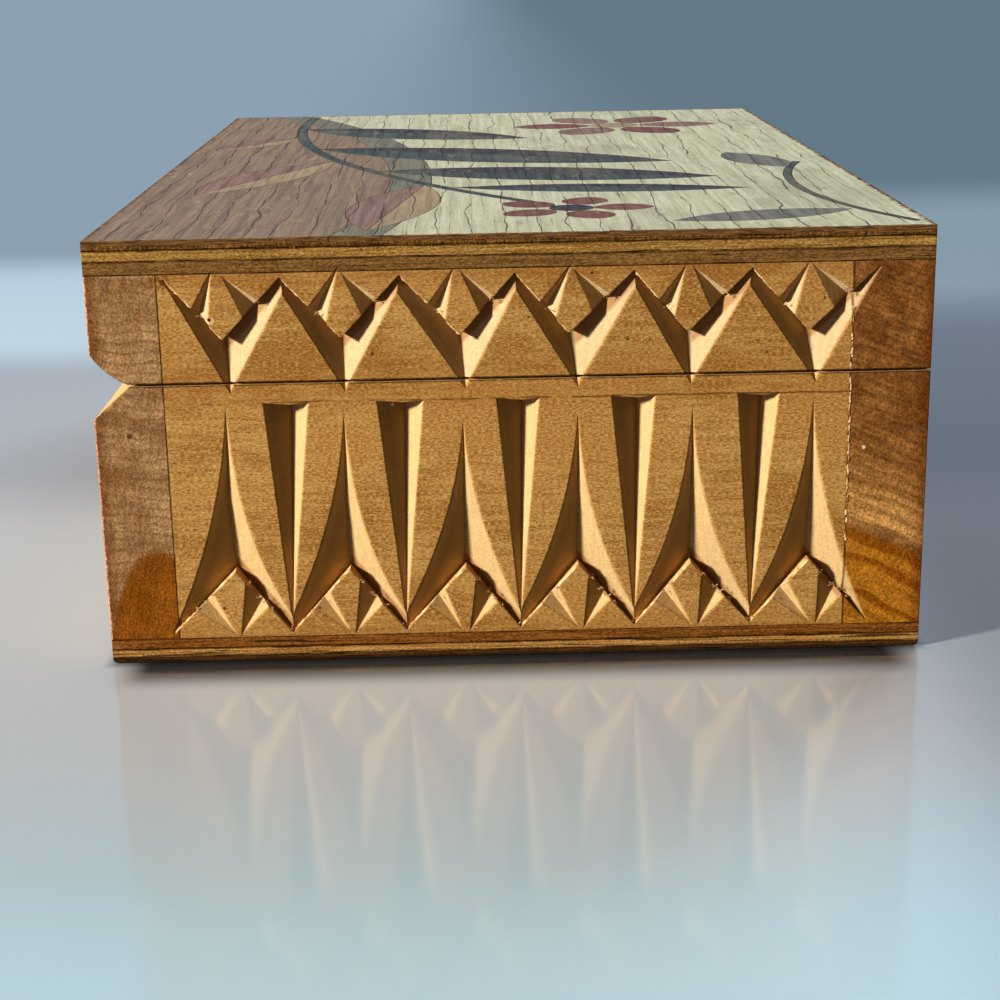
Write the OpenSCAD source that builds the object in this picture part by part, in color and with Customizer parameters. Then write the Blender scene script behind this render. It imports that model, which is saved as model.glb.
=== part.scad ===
// Hinged wooden trinket box: a glued carcase sawn into base and lid, chip-carved on the ends
// and the front, with a plywood bottom, a plywood lid panel and a marquetry picture on the lid.
// The origin is the centre of the bottom. X runs along the hinges, the front faces -Y, Z is up.

/* [Carcase] */
// Length along the hinges
body_l = 160; // [145:1:200]
// Depth from front to back
body_w = 100; // [92:1:120]
// Thickness of the front board
front_t = 8.5; // [7.5:0.1:11]
// Thickness of the back board
back_t = 9.5; // [9:0.1:12]
// Thickness of the two end panels
end_t = 9; // [6:0.1:12]
// Height of the base walls
base_h = 31.9; // [30:0.1:45]
// Height of the lid walls
lid_h = 13; // [12:0.1:20]
// Width of the saw cut that parts the lid from the base
saw_cut = 0.3; // [0.2:0.05:0.6]

/* [Plywood and veneer] */
// Bottom plywood, ply next to the walls
bottom_inner_t = 1.4; // [0.8:0.1:2]
// Bottom plywood, core
bottom_core_t = 1; // [0.8:0.1:2]
// Bottom plywood, outer ply
bottom_outer_t = 0.9; // [0.8:0.1:2]
// Rounding of the worn lower edge of the bottom
bottom_round = 0.8; // [0.3:0.1:0.8]
// Lid plywood, ply next to the walls
lid_inner_t = 1.6; // [1:0.1:2]
// Lid plywood, core
lid_core_t = 1.3; // [0.8:0.1:2]
// Lid plywood, outer ply
lid_outer_t = 0.6; // [0.5:0.1:1.5]
// Thickness of the marquetry veneers
veneer_t = 0.6; // [0.4:0.1:1.2]
// Width of the glue line between two veneers
glue_line = 0.1; // [0.06:0.02:0.2]

/* [Finger groove] */
// Depth of the groove along the front seam
groove_depth = 4.6; // [3:0.1:5.5]
// Height of its slope on the lid
groove_up = 3.9; // [3:0.1:4.5]
// Height of its slope on the base
groove_down = 4.1; // [3:0.1:5]
// Bulge of the slope on the lid, worn round by fingers
groove_bulge = 0.5; // [0.2:0.1:0.8]

/* [Carving on the lid] */
// Repeats across each end
end_repeats = 6; // [4:1:8]
// Repeats along the front
front_repeats = 10; // [8:1:12]
// Plain border left of the first cut on an end, from the front joint
end_margin = 0.5; // [0:0.1:2]
// How far the last cut on an end runs over the back joint
end_overrun = 2.1; // [0:0.1:3]
// Plain border at both ends of the front
front_margin = 10.6; // [8:0.1:16]
// Deepest point of each V
v_depth = 2.6; // [1.5:0.1:3.5]
// Top of the zigzag, below the top of the wall
v_top = 0.5; // [0.3:0.1:1.5]
// Where the flanks of two Vs cross, below the top of the wall
v_cross = 2.6; // [1.6:0.05:3.5]
// Inner corner of the V, below the top of the wall
v_notch = 7.8; // [6.8:0.1:8.2]
// Inner corner of the Vs on the front, above the finger groove
front_notch = 5.4; // [4.5:0.1:6]
// How far the tips of the Vs on the ends run past the seam
v_past = 1.1; // [0.4:0.1:1.6]
// How far the tips of the Vs on the front run into the finger groove
front_v_past = 0.4; // [0.1:0.1:1]
// How far the tips of the small chips nick the plywood
chip_nick = 0.75; // [0.1:0.05:0.85]
// Depth of the small chips
chip_depth = 1.15; // [0.8:0.05:1.3]

/* [Carving on the base] */
// Deepest point of each spike
spike_depth = 2.7; // [1.5:0.1:3.5]
// Height of the notch under each spike
spike_notch = 7.95; // [7:0.05:8.6]
// Bottom of the legs, above the bottom of the wall
spike_foot = 0.5; // [0.3:0.1:1.5]
// Where the legs of two spikes cross, above their feet
spike_cross = 2.3; // [1.6:0.1:4]
// How hollow the curved edges of a spike are, from 0 for straight ones
spike_hollow = 0.73; // [0.3:0.01:0.8]
// Width of a flute at its square end
flute_w = 5.3; // [4:0.1:6]
// Depth of a flute at its square end
flute_depth = 2.5; // [1.5:0.1:3]
// Square end of the flutes, below the seam
flute_drop = 2.3; // [1.8:0.1:4]
// How far the points of the flutes stop above the feet of the spikes
flute_clear = 0.4; // [0.2:0.1:3]

/* [Hinges] */
// Distance of each hinge's middle from the end of the box
hinge_inset = 32; // [25:1:45]
// Length of a hinge
hinge_l = 20; // [16:1:26]
// Depth of a leaf in the back board
leaf_d = 7.5; // [6:0.1:8.5]
// Thickness of a leaf
leaf_t = 0.8; // [0.6:0.1:1]
// Radius of the knuckles
knuckle_r = 1.4; // [1.2:0.05:1.8]
// Radius of the hinge pin
pin_r = 0.7; // [0.5:0.05:0.8]
// Clearance round the pin in the lid's knuckle
pin_run = 0.05; // [0.02:0.01:0.1]
// Clearance between neighbouring hinge parts
hinge_gap = 0.15; // [0.1:0.05:0.25]
// Length of the screws
screw_l = 6.5; // [5:0.5:8]
// Radius of a screw's shank
screw_r = 0.7; // [0.5:0.05:0.8]
// Radius of a screw's head
screw_head_r = 1.45; // [1.2:0.05:1.6]
// Distance between the two screws of a leaf
screw_pitch = 12; // [9:0.5:13]

/* [Marquetry] */
// Radius of the curved top of the dark ground
ground_r = 244; // [200:1:300]
// Width of the grey band along it
band_w = 6; // [3:0.5:9]
// Width of the main stem
stem_w = 1.7; // [1:0.1:3]
// Width of the thin twig
twig_w = 1.1; // [0.8:0.1:1.6]
// Length of a petal of the large blossom
large_petal = 14; // [10:0.5:16]
// Radius of the centre of the large blossom
large_centre = 4.2; // [3:0.1:5]
// Length of a petal of the small blossom
small_petal = 7.5; // [6:0.5:8.5]
// Radius of the centre of the small blossom
small_centre = 2.8; // [2:0.1:3.5]

/* [Hidden] */
$fn = 180;
arc_fn = 720;
// Heights of the layers, from the bottom up
bottom_t = bottom_inner_t + bottom_core_t + bottom_outer_t;
seam_z = bottom_t + base_h;
lid_z = seam_z + saw_cut;
lid_top_z = lid_z + lid_h;
lid_core_z = lid_top_z + lid_inner_t;
lid_outer_z = lid_core_z + lid_core_t;
veneer_z = lid_outer_z + lid_outer_t;
// Where the boards lie
front_y = -body_w / 2;
back_y = body_w / 2;
front_joint_y = front_y + front_t;
back_joint_y = back_y - back_t;
panel_w = back_joint_y - front_joint_y;
// The carved bands
end_pitch = (panel_w - end_margin + end_overrun) / end_repeats;
front_pitch = (body_l - 2 * front_margin) / front_repeats;
// How far a cutter stands out of the face that it cuts
outside = 1;
// Where the small chips at the left and right meet the limbs: shares of the way down a V's limb and
// down a spike's leg
lid_chip_feet = [[0.47, 0.6, 0.76], [0.37, 0.45, 0.65]];
base_chip_feet = [[0.34, 0.47, 0.63], [0.17, 0.46, 0.58]];
// Where their tips lie, to the right of the point of the V or spike, and how deep each nicks the plywood
lid_chip_tips = [[-1.44, -0.4], [-0.2, 0], [-1.13, -0.44], [-0.64, -0.5], [-0.6, 0.05], [-1.1, -0.83]];
base_chip_tips = [[-0.05, 0.28], [-0.07, 0.33], [-0.5, 0.23], [0, 0.5], [0.3, 0.85], [0.45, 0.98]];
nick_shares = [0.8, 1, 0.4, 0.75, 0.25, 0.15];
// What the tips stay clear of the edge of the wall, where they don't nick the plywood
chip_edge = 0.12;
// How far a small chip runs on into the limb, at its sides and at its deepest point
run_on = 1.02;
deep_run_on = 1.05;
// Steps in the curved edge of a spike, and how the edges bend at its left and right
spike_steps = 9;
spike_bends = [[2, 2.75], [2, 2.65], [2, 2], [2.1, 2.4], [2.3, 2.4], [2.3, 2]];
// Where the valley of a spike turns: a step of the edges, shares of its length and of its depth, and
// how far aside
knee_step = 5;
knee = [0.56, 0.42];
knee_wander = [-0.4, -0.2, -0.1, 0, 0.1, 0.1];
// Height of the first and last corner of a band, which run out in a point
outer_cross = 0.3;
// The knife's wander from an even layout, as on the real box
top_wander = [0.3, -0.05, 0.05, -0.3, -0.2, -0.2, 1];
cross_wander = [0, 0.3, -0.3, 0.15, 0.2, -0.3, 0];
tip_wander = [0.5, 0.2, 0.65, 0.1, -0.35, 0.65];
notch_wander = [-0.55, -0.2, -0.5, -0.95, -0.4, -1];
notch_drops = [0, 0, 0, 0, 0.2, 0.35];
foot_wander = [-1.3, -0.45, -0.35, -0.2, -0.1, 0.25, 0.7];
spike_wander = [-0.25, -0.1, 0.2, 0.05, -0.1, 0.45];
flute_wander = [0, -0.3, -0.15, -0.25, 0.82];
tip_drops = [2.7, 3.7, 4.7, 4.1, 3.7, 3.1];
flute_shares = [1.04, 1.07, 0.99, 1.02, 0.96];
// Where a flute's valley lies, from its middle, and how its square end sags there
flute_valley = 0.6;
flute_sag = 0.25;
// The hinges
hinge_x = body_l / 2 - hinge_inset;
pin_y = back_y + knuckle_r + hinge_gap;
pin_z = seam_z + saw_cut / 2;
knuckle_l = (hinge_l - 2 * hinge_gap) / 3;
pin_fit = 0.01;
screw_fit = 0.03;
mortise_fit = 0.05;
screw_y = back_y - leaf_d / 2;
screw_slot_w = 0.35;
screw_slot_d = 0.3;
// The picture is drawn for a lid of this size, and scaled to fit another one
drawn_for = [160, 100];
drawn_scale = min(body_l / drawn_for[0], body_w / drawn_for[1]);
// The dark ground is the inside of a large circle, whose highest point this is
ground_top = [30, -16];
// The stem and the twig are arcs about a centre above this point. They run between two distances
// along the arc from there.
stem_low = [-60, -35];
stem_r = 185;
stem_from = -17.8;
stem_to = 122.7;
twig_low = [40, 40];
twig_r = 80;
twig_from = -27.9;
twig_to = 37.7;
// Leaves on the stem: [place along it, lean from it, length, bulge on the left, bulge on the right]
LEAVES = [
    [6.5, 57, 46, 7, 9],
    [42, 51, 62, 8, 10],
    [77.5, 50, 51, 8, 7.5],
    [101.7, 50, 41, 4, 4.5],
    [22.6, -40, 22, 3.5, 4.5],
    [61.3, -42, 42, 5, 6],
    [96.9, -38, 43, 5, 6],
];
// Leaves on the twig: [place along it, lean from it, length, bulge]
TWIG_LEAVES = [
    [25.1, -90, 24, 4],
    [-19.5, 210, 22, 4],
];
large_at = [-50, 22];
large_petals = 6;
large_petal_bulge = 4.6;
// The small blossom stands beyond the end of the stem
small_beyond = 6.7;
small_petals = 5;
small_petal_bulge = 2.9;

MARQUETRY_GROUND = ["marquetry_mauve_ground", "marquetry_grey_band", "marquetry_pale_ground"];
MARQUETRY_STEMS = ["marquetry_stem", "marquetry_twig"];
LEAF_NODES = [for (i = [1:len(LEAVES)]) for (half = ["left", "right"]) str("leaf_", i, "_", half, "_half")];
TWIG_LEAF_NODES = [for (i = [1:len(TWIG_LEAVES)]) str("twig_leaf_", i)];
LARGE_PETAL_NODES = [for (i = [1:large_petals]) str("large_petal_", i)];
SMALL_PETAL_NODES = [for (i = [1:small_petals]) str("small_petal_", i)];

// An entry of a list that starts again at its end
function pick(list, i) = list[i % len(list)];

// Where the tops, tips and notches of the Vs, the feet and notches of the spikes and the flutes lie
function top_x(i, pitch) = i * pitch + pick(top_wander, i);
function tip_x(i, pitch) = (i + 0.5) * pitch + pick(tip_wander, i);
function v_corner(i, pitch, notch) =
    [tip_x(i, pitch) + pick(notch_wander, i), -notch - pick(notch_drops, i)];
function foot_x(i, pitch) = i * pitch + pick(foot_wander, i);
function spike_x(i, pitch) = (i + 0.5) * pitch + pick(spike_wander, i);
function flute_x(i, pitch) = i * pitch + pick(flute_wander, i - 1);

// What the knife takes out of a face. The outline is seen from outside, anticlockwise, as [x, z] on
// the face y = 0, and the knees are further points within it. The depths in the wood are those of the
// outline's corners, then of the knees, and the facets are lists of these.
module cut(outline, depths, facets, knees = []) {
    n = len(outline);
    points = concat(outline, knees);
    m = len(points);
    polyhedron(
        points = concat(
            [for (p = points) [p[0], -outside, p[1]]],
            [for (i = [0:m - 1]) [points[i][0], depths[i], points[i][1]]]),
        faces = concat(
            [for (f = facets) [for (i = [len(f) - 1:-1:0]) f[i]]],
            [for (i = [0:n - 1]) [i, (i + 1) % n, m + (i + 1) % n, m + i]],
            [for (f = facets) [for (i = f) m + i]]));
}

// A zigzag row of Vs with flat flanks: z = 0 is the top of the lid wall. Corners 0, 2, 4... of each
// side are where two Vs meet, and corners 1, 3, 5... the tips below and the notches above.
module v_row(repeats, pitch, notch, tip) {
    last = 2 * repeats;
    // How high the cut is at top k
    function rise(k) = k == 0 || k == last ? outer_cross : v_cross - v_top;
    lower = [for (k = [0:last]) k % 2 == 0
        ? [top_x(k / 2, pitch) + pick(cross_wander, k / 2), -v_top - rise(k)]
        : [tip_x((k - 1) / 2, pitch), -tip]];
    upper = [for (k = [last:-1:0])
        k % 2 == 0 ? [top_x(k / 2, pitch), -v_top] : v_corner((k - 1) / 2, pitch, notch)];
    slope = v_depth / (tip - notch);
    function above(k) = 2 * last + 1 - k;
    cut(concat(lower, upper),
        concat([for (p = lower) 0], [for (k = [last:-1:0]) k % 2 == 0 ? slope * rise(k) : v_depth]),
        [for (k = [0:2:last - 2]) each [[k, k + 1, above(k + 1)], [k, above(k + 1), above(k)],
            [k + 1, k + 2, above(k + 1)], [k + 2, above(k + 2), above(k + 1)]]]);
}

// A small chip left of the middle line, from its tip to three places along a limb between two corners
module small_chip(tip, from, to, feet) {
    function on_limb(f) = from + f * (to - from);
    function beyond(f, share) = tip + share * (on_limb(f) - tip);
    cut([beyond(feet[1], deep_run_on), beyond(feet[2], run_on), tip, beyond(feet[0], run_on)],
        [chip_depth * deep_run_on, 0, 0, 0], [[0, 1, 2], [0, 2, 3]]);
}

// The small chips inside the Vs, two in each, from repeat "first" on. Those at the left nick the plywood.
module v_chip_row(first, repeats, pitch, notch) {
    for (i = [first:repeats - 1]) translate([tip_x(i, pitch), 0, 0]) {
        left = tip_x(i, pitch) - top_x(i, pitch);
        right = top_x(i + 1, pitch) - tip_x(i, pitch);
        corner = v_corner(i, pitch, notch) - [tip_x(i, pitch), 0];
        tips = pick(lid_chip_tips, i);
        small_chip([tips[0], chip_nick * pick(nick_shares, i)], [-left, -v_top], corner, lid_chip_feet[0]);
        mirror([1, 0, 0])
            small_chip([-tips[1], -chip_edge], [-right, -v_top], [-corner[0], corner[1]], lid_chip_feet[1]);
    }
}

// A row of spikes that open into two legs over a notch, joined at their feet. It hangs from z = 0,
// and h is the height down to the bottom of the wall.
module spike_row(repeats, pitch, h) {
    foot = h - spike_foot;
    notch = foot - spike_notch;
    steps = spike_steps;
    function edge(i, to, bend, k) =
        let (s = k / steps, tip = [spike_x(i, pitch), -pick(tip_drops, i)],
            across = (1 - spike_hollow) * s + spike_hollow * pow(s, bend))
        [tip[0] + across * (to[0] - tip[0]), tip[1] + s * (to[1] - tip[1])];
    // How high the cut is at foot i, where an edge ends there, and the edges of spike i
    function rise(i) = i == 0 || i == repeats ? outer_cross : spike_cross;
    function end(i) = [foot_x(i, pitch), rise(i) - foot];
    function right_edge(i, k) = edge(i, end(i + 1), pick(spike_bends, i)[1], k);
    function left_edge(i, k) = edge(i, end(i), pick(spike_bends, i)[0], k);
    lower = [for (k = [0:2 * repeats])
        k % 2 == 0 ? [foot_x(k / 2, pitch), -foot] : [spike_x((k - 1) / 2, pitch), -notch]];
    upper = [for (i = [repeats - 1:-1:0], k = [steps - 1:-1:-steps])
        k > 0 ? right_edge(i, k) : left_edge(i, -k)];
    outline = concat(lower, [right_edge(repeats - 1, steps)], upper);
    knees = [for (i = [0:repeats - 1]) let (drop = pick(tip_drops, i))
        [spike_x(i, pitch) + pick(knee_wander, i), -drop - knee[0] * (notch - drop)]];
    depths = concat(
        [for (k = [0:2 * repeats])
            k % 2 == 0 ? spike_depth * rise(k / 2) / (spike_notch + rise(k / 2)) : spike_depth],
        [for (k = [0:len(upper)]) 0],
        [for (p = knees) knee[1] * spike_depth]);
    // Round each spike, the facets below the turns of its edges meet at the notch, the others at the knee
    turn = steps + 1 - knee_step;
    facets = [for (i = [0:repeats - 1])
        let (first = 2 * repeats + 1 + 2 * steps * (repeats - 1 - i), corner = 2 * i + 1,
            bend = len(outline) + i,
            round = concat([2 * i + 2], [for (k = [0:2 * steps]) first + k], [2 * i]), last = len(round) - 1)
        each concat(
            [for (k = [0:last - 1]) [k < turn || k >= last - turn ? corner : bend, round[k], round[k + 1]]],
            [[corner, round[turn], bend], [corner, bend, round[last - turn]]])];
    cut(outline, depths, facets, knees);
}

// The small chips under the notches of the spikes, from repeat "first" on
module spike_chip_row(first, repeats, pitch, h) {
    notch = [0, spike_foot + spike_notch - h];
    for (i = [first:repeats - 1]) translate([spike_x(i, pitch), 0, 0]) {
        left = spike_x(i, pitch) - foot_x(i, pitch);
        right = foot_x(i + 1, pitch) - spike_x(i, pitch);
        tips = pick(base_chip_tips, i);
        small_chip([tips[0], chip_edge - h], notch, [-left, spike_foot - h], base_chip_feet[0]);
        mirror([1, 0, 0])
            small_chip([-tips[1], chip_edge - h], notch, [-right, spike_foot - h], base_chip_feet[1]);
    }
}

// The tapering flutes between the spikes, with a sagging square end at the top
module flute_row(repeats, pitch, h) {
    point = spike_foot + flute_clear - h;
    for (i = [1:repeats - 1]) {
        x = flute_x(i, pitch);
        half = flute_w * pick(flute_shares, i - 1) / 2;
        cut([[x + flute_valley, -flute_drop - flute_sag], [x - half, -flute_drop],
                [foot_x(i, pitch), point], [x + half, -flute_drop]],
            [flute_depth, 0, 0, 0], [[0, 1, 2], [0, 2, 3]]);
    }
}

// Places a band that starts at x = 0 on the ends, just behind the front joint, and on the front
module on_right_end() {
    translate([body_l / 2, front_joint_y + end_margin, 0]) rotate([0, 0, 90]) children();
}

module on_both_ends() {
    on_right_end() children();
    mirror([1, 0, 0]) on_right_end() children();
}

module on_front() {
    translate([front_margin - body_l / 2, front_y, 0]) children();
}

// The Vs of an end, whose tips cross the seam, and their small chips
module end_vs() {
    translate([0, 0, lid_top_z]) v_row(end_repeats, end_pitch, v_notch, lid_h + saw_cut + v_past);
}

module end_v_chips(first) {
    translate([0, 0, lid_top_z]) v_chip_row(first, end_repeats, end_pitch, v_notch);
}

module end_spikes() {
    translate([0, 0, seam_z]) spike_row(end_repeats, end_pitch, base_h);
}

module end_spike_chips(first) {
    translate([0, 0, seam_z]) spike_chip_row(first, end_repeats, end_pitch, base_h);
}

// The Vs of the front end at the finger groove, and its spikes hang from the groove
module front_v_chips() {
    translate([0, 0, lid_top_z]) v_chip_row(0, front_repeats, front_pitch, front_notch);
}

module front_lid_cuts() {
    translate([0, 0, lid_top_z])
        v_row(front_repeats, front_pitch, front_notch, lid_top_z - pin_z - groove_up + front_v_past);
    front_v_chips();
}

module front_base_cuts() {
    groove_z = pin_z - groove_down;
    h = groove_z - bottom_t;
    translate([0, 0, groove_z]) {
        spike_row(front_repeats, front_pitch, h);
        spike_chip_row(0, front_repeats, front_pitch, h);
        flute_row(front_repeats, front_pitch, h);
    }
}

// The finger groove: a straight slope on the base, and one on the lid that fingers have worn round
module finger_groove() {
    slope = norm([groove_depth, groove_up]);
    worn_r = (slope * slope / 4 + groove_bulge * groove_bulge) / (2 * groove_bulge);
    across = [-groove_up, groove_depth] / slope;
    translate([-body_l / 2 - outside, front_y, pin_z]) rotate([90, 0, 90]) mirror([1, 0])
        linear_extrude(body_l + 2 * outside) difference() {
            polygon([[outside, -groove_down], [0, -groove_down], [-groove_depth, 0], [0, groove_up],
                [outside, groove_up]]);
            translate([-groove_depth, groove_up] / 2 + (worn_r - groove_bulge) * across) circle(worn_r);
        }
}

// A board or panel of the carcase, between two heights
module front_board(z, h) {
    translate([-body_l / 2, front_y, z]) cube([body_l, front_t, h]);
}

module back_board(z, h) {
    translate([-body_l / 2, back_joint_y, z]) cube([body_l, back_t, h]);
}

module end_board(z, h) {
    translate([body_l / 2 - end_t, front_joint_y, z]) cube([end_t, panel_w, h]);
}

// The base
module base_front_wall() {
    color("peru") difference() {
        front_board(bottom_t, base_h);
        finger_groove();
        on_front() front_base_cuts();
        on_both_ends() end_spikes();
    }
}

module base_back_wall() {
    color("peru") difference() {
        back_board(bottom_t, base_h);
        on_both_ends() {
            end_vs();
            end_spikes();
            end_spike_chips(end_repeats - 1);
        }
        both_hinges() {
            leaf_mortise(seam_z - leaf_t, leaf_t + saw_cut);
            translate([0, 0, seam_z]) screw_holes(screw_fit);
        }
    }
}

module base_end() {
    difference() {
        end_board(bottom_t, base_h);
        on_right_end() {
            end_vs();
            end_spikes();
            end_spike_chips(0);
            translate([0, 0, seam_z]) flute_row(end_repeats, end_pitch, base_h);
        }
    }
}

module base_right_end() {
    color("goldenrod") base_end();
}

module base_left_end() {
    color("goldenrod") mirror([1, 0, 0]) base_end();
}

// A sheet as long and as deep as the box
module sheet(z, t) {
    translate([-body_l / 2, front_y, z]) cube([body_l, body_w, t]);
}

module bottom_inner_ply() {
    color("saddlebrown") sheet(bottom_t - bottom_inner_t, bottom_inner_t);
}

module bottom_core_ply() {
    color("burlywood") sheet(bottom_outer_t, bottom_core_t);
}

// What the wear takes off a lower edge of the given length, which lies along X at the origin
module worn_edge(length) {
    r = bottom_round;
    translate([-length / 2 - outside, 0, 0]) rotate([90, 0, 90])
        linear_extrude(length + 2 * outside) difference() {
            translate([-outside, -outside]) square([r + outside, r + outside]);
            translate([r, r]) circle(r);
        }
}

module bottom_outer_ply() {
    color("sienna") difference() {
        sheet(0, bottom_outer_t);
        translate([0, front_y, 0]) worn_edge(body_l);
        rotate([0, 0, 180]) translate([0, front_y, 0]) worn_edge(body_l);
        for (side = [90, -90]) rotate([0, 0, side]) translate([0, -body_l / 2, 0]) worn_edge(body_w);
    }
}

// The lid
module lid_front_wall() {
    color("peru") difference() {
        front_board(lid_z, lid_h);
        finger_groove();
        on_front() front_lid_cuts();
    }
}

module lid_back_wall() {
    color("peru") difference() {
        back_board(lid_z, lid_h);
        on_both_ends() {
            end_vs();
            end_v_chips(end_repeats - 1);
        }
        both_hinges() {
            leaf_mortise(seam_z, leaf_t + saw_cut);
            translate([0, 0, lid_z]) mirror([0, 0, 1]) screw_holes(screw_fit);
        }
    }
}

module lid_end() {
    difference() {
        end_board(lid_z, lid_h);
        on_right_end() {
            end_vs();
            end_v_chips(0);
        }
    }
}

module lid_right_end() {
    color("goldenrod") lid_end();
}

module lid_left_end() {
    color("goldenrod") mirror([1, 0, 0]) lid_end();
}

// The lowest ply of the lid panel, nicked by the tips of the small chips
module lid_inner_ply() {
    color("saddlebrown") difference() {
        sheet(lid_top_z, lid_inner_t);
        on_both_ends() end_v_chips(0);
        on_front() front_v_chips();
    }
}

module lid_core_ply() {
    color("burlywood") sheet(lid_core_z, lid_core_t);
}

module lid_outer_ply() {
    color("sienna") sheet(lid_outer_z, lid_outer_t);
}

// The hinges
module both_hinges() {
    for (x = [-hinge_x, hinge_x]) translate([x, 0, 0]) children();
}

// The recess for a leaf, open to the back
module leaf_mortise(z, h) {
    translate([-hinge_l / 2 - mortise_fit, back_y - leaf_d - mortise_fit, z])
        cube([hinge_l + 2 * mortise_fit, leaf_d + mortise_fit + outside, h]);
}

// A countersunk screw, its head flush with z = 0 and its point down
module screw_body(fit) {
    r = screw_r + fit;
    head = screw_head_r + fit;
    sink = screw_head_r - screw_r;
    rotate_extrude() polygon([[0, 0], [head, 0], [r, -sink], [r, screw_r - screw_l - fit],
        [0, -screw_l - fit]]);
}

module screw_holes(fit) {
    for (x = [-screw_pitch / 2, screw_pitch / 2]) translate([x, screw_y, 0]) screw_body(fit);
}

module screws() {
    for (x = [-screw_pitch / 2, screw_pitch / 2]) translate([x, screw_y, 0]) difference() {
        screw_body(0);
        translate([-screw_head_r - outside, -screw_slot_w / 2, -screw_slot_d])
            cube([2 * (screw_head_r + outside), screw_slot_w, screw_slot_d + outside]);
    }
}

// One knuckle with the tongue that joins it to its leaf, from x to x + the knuckle's length
module knuckle(x) {
    translate([x, pin_y, pin_z]) rotate([0, 90, 0]) cylinder(r = knuckle_r, h = knuckle_l);
    translate([x, back_y - leaf_t, seam_z - leaf_t]) cube([knuckle_l, pin_y - back_y + leaf_t, leaf_t]);
}

module knuckle_bore(x, fit) {
    translate([x - hinge_gap, pin_y, pin_z]) rotate([0, 90, 0])
        cylinder(r = pin_r + fit, h = knuckle_l + 2 * hinge_gap);
}

// A leaf as it lies in the base: a plate, its knuckles at the places given, and two screw holes
module leaf(places, fit) {
    difference() {
        union() {
            translate([-hinge_l / 2, back_y - leaf_d, seam_z - leaf_t]) cube([hinge_l, leaf_d, leaf_t]);
            for (x = places) knuckle(x);
        }
        for (x = places) knuckle_bore(x, fit);
        translate([0, 0, seam_z]) screw_holes(screw_fit);
    }
}

module base_leaf() {
    leaf([-hinge_l / 2, hinge_l / 2 - knuckle_l], pin_fit);
}

// The lid's leaf is the same way up as the base's, turned over about the pin's height
module lid_leaf() {
    translate([0, 0, 2 * pin_z]) mirror([0, 0, 1]) leaf([-knuckle_l / 2], pin_run);
}

module hinge_pin() {
    translate([-hinge_l / 2, pin_y, pin_z]) rotate([0, 90, 0]) cylinder(r = pin_r, h = hinge_l);
}

module base_hinge_leaf_left() {
    color("gold") translate([-hinge_x, 0, 0]) base_leaf();
}

module base_hinge_leaf_right() {
    color("gold") translate([hinge_x, 0, 0]) base_leaf();
}

module lid_hinge_leaf_left() {
    color("gold") translate([-hinge_x, 0, 0]) lid_leaf();
}

module lid_hinge_leaf_right() {
    color("gold") translate([hinge_x, 0, 0]) lid_leaf();
}

module hinge_pin_left() {
    color("silver") translate([-hinge_x, 0, 0]) hinge_pin();
}

module hinge_pin_right() {
    color("silver") translate([hinge_x, 0, 0]) hinge_pin();
}

module base_hinge_screws() {
    color("silver") both_hinges() translate([0, 0, seam_z]) screws();
}

module lid_hinge_screws() {
    color("silver") both_hinges() translate([0, 0, lid_z]) mirror([0, 0, 1]) screws();
}

// The marquetry: flat shapes seen from above, each grown by g where it cuts into its neighbours
module lid_outline() {
    translate([-body_l / 2, front_y]) square([body_l, body_w]);
}

// A shape of the picture, in the drawing's own size
module drawn() {
    scale([drawn_scale, drawn_scale]) children();
}

module ground_circle(r) {
    drawn() translate([ground_top[0], ground_top[1] - ground_r]) circle(r, $fn = arc_fn);
}

// The angle of a place on an arc, and that place. The arc's lowest point is "low".
function arc_angle(r, along) = along / r * 180 / PI;
function on_arc(low, r, along, out = 0) = let (angle = arc_angle(r, along))
    low + [0, r] + (r + out) * [sin(angle), -cos(angle)];

// A band of width w along an arc, between two places on it
module arc_band(low, r, w, from, to, g) {
    reach = r + w;
    mid = arc_angle(r, (from + to) / 2);
    spread = arc_angle(r, (to - from) / 2);
    drawn() translate(low + [0, r]) rotate(mid - 90) intersection() {
        difference() {
            circle(r + w / 2 + g, $fn = arc_fn);
            circle(r - w / 2 - g, $fn = arc_fn);
        }
        polygon([[0, 0], 2 * reach * [cos(spread), -sin(spread)], 2 * reach * [cos(spread), sin(spread)]]);
    }
}

module stem(g) {
    arc_band(stem_low, stem_r, stem_w, stem_from, stem_to, g);
}

module twig(g) {
    arc_band(twig_low, twig_r, twig_w, twig_from, twig_to, g);
}

// One side of a leaf or petal along X: an arc over a straight rib that lies "rib" above the axis
module half_leaf(length, bulge, rib, g) {
    r = (length * length / 4 + bulge * bulge) / (2 * bulge);
    intersection() {
        translate([length / 2, bulge - r]) circle(r + g);
        translate([-g, rib]) square([length + 2 * g, bulge + g]);
    }
}

// A whole leaf, with the bulges of its left and right sides
module whole_leaf(length, left, right, g) {
    half_leaf(length, left, 0, g);
    mirror([0, 1]) half_leaf(length, right, 0, g);
}

// Puts its children at the foot of leaf i, pointing along it
module at_leaf(i) {
    leaf = LEAVES[i];
    out = leaf[1] > 0 ? -stem_w / 2 : stem_w / 2;
    drawn() translate(on_arc(stem_low, stem_r, leaf[0], out))
        rotate(arc_angle(stem_r, leaf[0]) + leaf[1]) children();
}

module at_twig_leaf(i) {
    leaf = TWIG_LEAVES[i];
    drawn() translate(on_arc(twig_low, twig_r, leaf[0]))
        rotate(arc_angle(twig_r, leaf[0]) + leaf[1]) translate([twig_w, 0]) children();
}

module leaves(g) {
    for (i = [0:len(LEAVES) - 1]) at_leaf(i) whole_leaf(LEAVES[i][2], LEAVES[i][3], LEAVES[i][4], g);
}

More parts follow.
